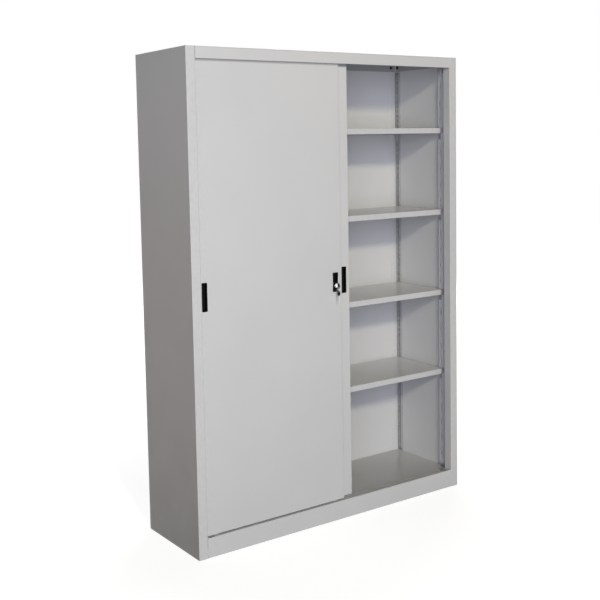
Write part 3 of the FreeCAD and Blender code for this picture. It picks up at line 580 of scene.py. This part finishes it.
# Painted shade: darker lines in the joints between the plinth and the stiles
plinth_joint_shade_lines = [(0, -659.7, 1.6, 0.2), (0, 659.7, 1.6, 0.2)]
plinth_coat = powder_coat("plinth_coat", rubbed=plinth_rubbed, shade_lines=plinth_joint_shade_lines)
# Painted shadow of the header: a dark line along the top of both doors
header_shadow_lines = [(2, 1930.5, 8.0, 0.92)]
front_rubbed = [(0, -658.5, 40.0), (0, 28.0, 7.0), (2, 85.0, 14.0)]
front_door_coat = powder_coat("front_door_coat", rubbed=front_rubbed, shade_lines=header_shadow_lines)
rear_rubbed = [(0, 89.0, 7.0), (2, 85.0, 14.0)]
rear_door_coat = powder_coat("rear_door_coat", rubbed=rear_rubbed, shade_lines=header_shadow_lines)
shelf_coat = powder_coat("shelf_coat", rubbed=[(1, -127.0, 3.0)], gloss=0.27, uneven=0.08)
# Painted shade: the floor and the lower track get darker copies of the grey coat
floor_shaded_coat = powder_coat("floor_shaded_coat", tone=0.45, gloss=0.25, uneven=0.08)
track_shaded_coat = powder_coat("track_shaded_coat", tone=0.36, gloss=0.40)
# Painted light and shade: the front strips get a lighter copy of the grey coat where the stiles shade them,
# the rear strips a darker copy for the shaded rear corners
front_strip_painted_light = powder_coat("front_strip_painted_light", tone=0.82)
rear_strip_painted_shade = powder_coat("rear_strip_painted_shade", tone=0.36)
pull_plastic = moulded_plastic("pull_plastic", level=0.002, gloss=0.42)
key_plastic = moulded_plastic("key_plastic", level=0.003, gloss=0.46)
lock_chrome = bright_metal("lock_chrome", tone=0.82, gloss=0.10, lines=(LOCK_X, LOCK_Z))
plated_steel = bright_metal("plated_steel", tone=0.62, gloss=0.30, tint=(1.0, 1.0, 0.98))
key_steel = bright_metal("key_steel", tone=0.84, gloss=0.42)
dark_steel = bright_metal("dark_steel", tone=0.014, gloss=0.45)
white_nylon = soft_polymer("white_nylon", (0.36, 0.355, 0.34, 1.0), gloss=0.42, grain=900.0)
dark_nylon = soft_polymer("dark_nylon", (0.022, 0.022, 0.024, 1.0), gloss=0.48, grain=900.0)
stop_rubber = soft_polymer("stop_rubber", (0.20, 0.20, 0.205, 1.0), gloss=0.72, grain=1400.0)

wear(side_coat, "left_side_panel", "right_side_panel")
wear(frame_coat, "back_panel")
wear(top_coat, "top_panel", "upper_track")
wear(plinth_coat, "plinth")
wear(floor_shaded_coat, "base_panel")
wear(track_shaded_coat, "lower_track")
wear(shelf_coat, "shelf_1", "shelf_2", "shelf_3", "shelf_4", "shelf_stiffeners")
wear(front_door_coat, "front_door", "front_door_stiffener")
wear(rear_door_coat, "rear_door", "rear_door_stiffener")
wear(plated_steel, "shelf_clips", "front_roller_brackets", "rear_roller_brackets")
wear(plated_steel, "front_roller_axles", "rear_roller_axles")
wear(plated_steel, "lock_nut", "lock_cam", "cam_screw", "rear_door_strike")
wear(key_steel, "key_blade", "spare_key_blade")
wear(lock_chrome, "lock_plug")
wear(white_nylon, "front_roller_left", "front_roller_right", "rear_roller_left", "rear_roller_right")
wear(dark_nylon, "front_door_guides", "rear_door_guides")
wear(stop_rubber, "track_stops")

front_pull = moulded_pull("front_pull", FRONT_PULL, DOOR_FACE)
dress(front_pull, pull_plastic, "front_door", "black_plastic", "front_door_pull")
rear_pull = moulded_pull("rear_pull", REAR_PULL, REAR_DOOR_FACE)
dress(rear_pull, pull_plastic, "rear_door", "black_plastic", "rear_door_pull")
lock_surround = softened("lock_surround", "lock_plate", width=0.7)
dress(lock_surround, pull_plastic, "front_door", "black_plastic", "lock_plate")
dress(lock_collar(), lock_chrome, "front_door", "chrome", "lock_barrel")
bow = key_bow("key_bow", KEY_MIDDLE, KEY_HOLE, (1.0, 0.0), half_long=6.0, half_wide=11.0, narrow=0.2)
dress(bow, key_plastic, "key", "black_plastic", "key_head")
spare_sizes = {"half_long": 11.0, "half_wide": 8.5, "narrow": 0.45}
spare_bow = key_bow("spare_key_bow", SPARE_MIDDLE, SPARE_HOLE, (0.0, -1.0), **spare_sizes)
dress(spare_bow, key_plastic, "key_ring", "black_plastic", "spare_key_head")
dress(wire_ring(), plated_steel, "key_ring", "plain_steel", "key_ring")

# Each row of strips: its coat, front edge, pitch of the slots, first slot, number of slots and half a slot
strips = {
    "front": (front_strip_painted_light, -123.0, 75.0, 129.0, 24, (1.8, 6.0)),
    "rear": (rear_strip_painted_shade, 167.2, 25.0, 104.0, 73, (4.3, 7.6)),
}
for row, (coat, *strip_sizes) in strips.items():
    for side, hand in ((-1, "left"), (1, "right")):
        strip = slotted_strip("slotted_strip_" + row + "_" + hand, side, *strip_sizes)
        dress(strip, coat, "carcass", "painted_steel", "shelf_upright_" + row + "_" + hand)

# Cap nuts inside the top and screws of the rear sheet
nut_places = [((s * SIDE_NUT_X, y, FASTENER_Z), (-s, 0, 0)) for s in (1, -1) for y in SIDE_NUT_Y]
nut_places += [((s * REAR_NUT_X, REAR_NUT_Y, FASTENER_Z), (0, -1, 0)) for s in (1, -1)]
cap_profile = [
    (0.0, 0.0, 0.01), (0.0, 0.0, 7.0), (0.7, 0.0, 7.0), (0.9, 0.0, 6.6), (0.95, 1.0, 4.5), (2.2, 1.0, 4.5),
    (2.5, 0.6, 4.35), (2.7, 0.0, 4.0), (3.2, 0.0, 3.5), (3.6, 0.0, 2.7), (3.88, 0.0, 1.5), (4.0, 0.0, 0.01),
]
cap_nuts = hexagon_heads("cap_nuts", nut_places, flats=9.0, profile=cap_profile)
dress(cap_nuts, dark_steel, "carcass", "black_steel", "top_nuts")
screw_heights = np.linspace(SCREW_END_GAP, CABINET_HEIGHT - SCREW_END_GAP, SCREW_STEPS + 1)
screw_places = [((s * SCREW_X, REAR_FACE, z), (0, 1, 0)) for s in (-1, 1) for z in screw_heights]
screw_places += [((x, REAR_FACE, z), (0, 1, 0)) for z in ROW_SCREW_Z for x in ROW_SCREW_X]
screw_profile = [
    (0.0, 0.0, 0.01), (0.0, 0.0, 5.2), (0.45, 0.0, 5.1), (0.55, 0.0, 4.6), (0.56, 1.0, 3.9), (1.6, 1.0, 3.9),
    (1.85, 0.7, 3.7), (1.95, 0.0, 2.8), (2.0, 0.0, 0.01),
]
sheet_screws = hexagon_heads("sheet_screws", screw_places, flats=7.8, profile=screw_profile)
dress(sheet_screws, plated_steel, "carcass", "plain_steel", "back_screws")


# Floor, light and camera; the floor's half side is in mm, all places here are in metres

FLOOR_HALF = 30000.0
FLOOR_GLOW_NEAR = 0.80
FLOOR_GLOW_FAR = 1.0
LAMP_AIM = (0.0, 0.0, 1.1)
PHOTO_PLACE = (-2.50752, -3.36897, 1.60141)
PHOTO_ANGLES = (-34.206, -5.084, -1.191)


def seen_itself(tree):
    """1 for rays from the camera, from a mirror or through glass, 0 for those that carry light."""
    path = put(tree, "LightPath")
    seen = maths(tree, "MAXIMUM", path.outputs["Is Camera Ray"], path.outputs["Is Glossy Ray"])
    return maths(tree, "MAXIMUM", seen, path.outputs["Is Transmission Ray"])


def pale_floor():
    """Wide flat floor, white to the camera away from shadows, pale to the light that comes back from it."""
    material = bpy.data.materials.new("pale_floor")
    material.use_nodes = True
    tree = material.node_tree
    tree.nodes.clear()
    place = put(tree, "TexCoord").outputs["Object"]
    away = put(tree, "VectorMath", {0: place}, operation="LENGTH").outputs["Value"]
    level = between(tree, away, 0.9, 2.6, FLOOR_GLOW_NEAR, FLOOR_GLOW_FAR)
    strength = maths(tree, "MULTIPLY", seen_itself(tree), level)
    matt = put(tree, "BsdfDiffuse", {"Color": grey(0.30), "Roughness": 0.3})
    glow = put(tree, "Emission", {"Color": grey(1.0), "Strength": strength})
    both = put(tree, "AddShader", {0: matt.outputs[0], 1: glow.outputs[0]})
    put(tree, "OutputMaterial", {"Surface": both.outputs[0]})
    corners = FLOOR_HALF * np.array([(-1, -1, 0), (1, -1, 0), (1, 1, 0), (-1, 1, 0)])
    floor = mesh_piece("floor", corners, [(0, 1, 2, 3)], smooth=False)
    floor.data.materials.append(material)


def room_light(level, tint):
    """Even light of the room; what looks straight at it sees white."""
    world = bpy.data.worlds.new("room")
    scene.world = world
    world.use_nodes = True
    tree = world.node_tree
    tree.nodes.clear()
    soft = put(tree, "Background", {"Color": grey(1.0, *tint), "Strength": level})
    white = put(tree, "Background", {"Color": grey(1.0), "Strength": 1.0})
    both = put(tree, "MixShader", {0: seen_itself(tree), 1: soft.outputs[0], 2: white.outputs[0]})
    put(tree, "OutputWorld", {"Surface": both.outputs[0]})


def looking(place, forward, up):
    """Matrix of something at a place whose own -Z looks forward and whose Y is nearest up."""
    back = -np.asarray(forward, float)
    right = np.cross(up, back)
    right = right / np.linalg.norm(right)
    rows = np.eye(4)
    rows[:3] = np.stack([right, np.cross(back, right), back, place], 1)
    return Matrix(rows.tolist())


def soft_lamp(name, place, wide, high, power, tint):
    """Rectangular lamp at a place that faces the cabinet's middle."""
    light = bpy.data.lights.new(name, "AREA")
    light.shape = "RECTANGLE"
    light.size = wide
    light.size_y = high
    light.energy = power
    light.color = tint
    lamp = bpy.data.objects.new(name, light)
    scene.collection.objects.link(lamp)
    forward = np.subtract(LAMP_AIM, place)
    lamp.matrix_world = looking(place, forward / np.linalg.norm(forward), UPWARD)


def photo_camera():
    """Camera at the photograph's place: yaw about Z, then pitch, then roll about the line of sight."""
    yaw, pitch, roll = np.radians(PHOTO_ANGLES)
    level = np.array([-math.sin(yaw), math.cos(yaw), 0.0])
    right = np.array([math.cos(yaw), math.sin(yaw), 0.0])
    forward = math.cos(pitch) * level + math.sin(pitch) * UPWARD
    up = -math.sin(pitch) * level + math.cos(pitch) * UPWARD
    rolled_up = -math.sin(roll) * right + math.cos(roll) * up
    data = bpy.data.cameras.new("photo_camera")
    data.sensor_width = 36.0
    data.lens = 58.08
    data.shift_x = 0.0569
    data.shift_y = -0.1131
    data.clip_end = 200.0
    camera = bpy.data.objects.new("photo_camera", data)
    scene.collection.objects.link(camera)
    camera.matrix_world = looking(PHOTO_PLACE, forward, rolled_up)
    scene.camera = camera


pale_floor()
room_light(level=0.008, tint=(0.94, 0.98, 1.06))
soft_lamp("key_lamp", (-2.6, -7.9, 5.08), 0.75, 0.75, 346.0, (1.0, 0.94, 0.72))
soft_lamp("fill_lamp", (-2.80611, -5.27753, 1.62293), 4.4, 3.6, 244.0, (0.81, 0.84, 1.0))
soft_lamp("rear_lamp", (5.0, 4.4, 2.9), 3.6, 3.6, 400.0, (1.0, 0.98, 0.95))
soft_lamp("top_lamp", (0.3, 1.7, 6.0), 2.4, 2.4, 75.0, (1.0, 0.99, 0.97))
photo_camera()
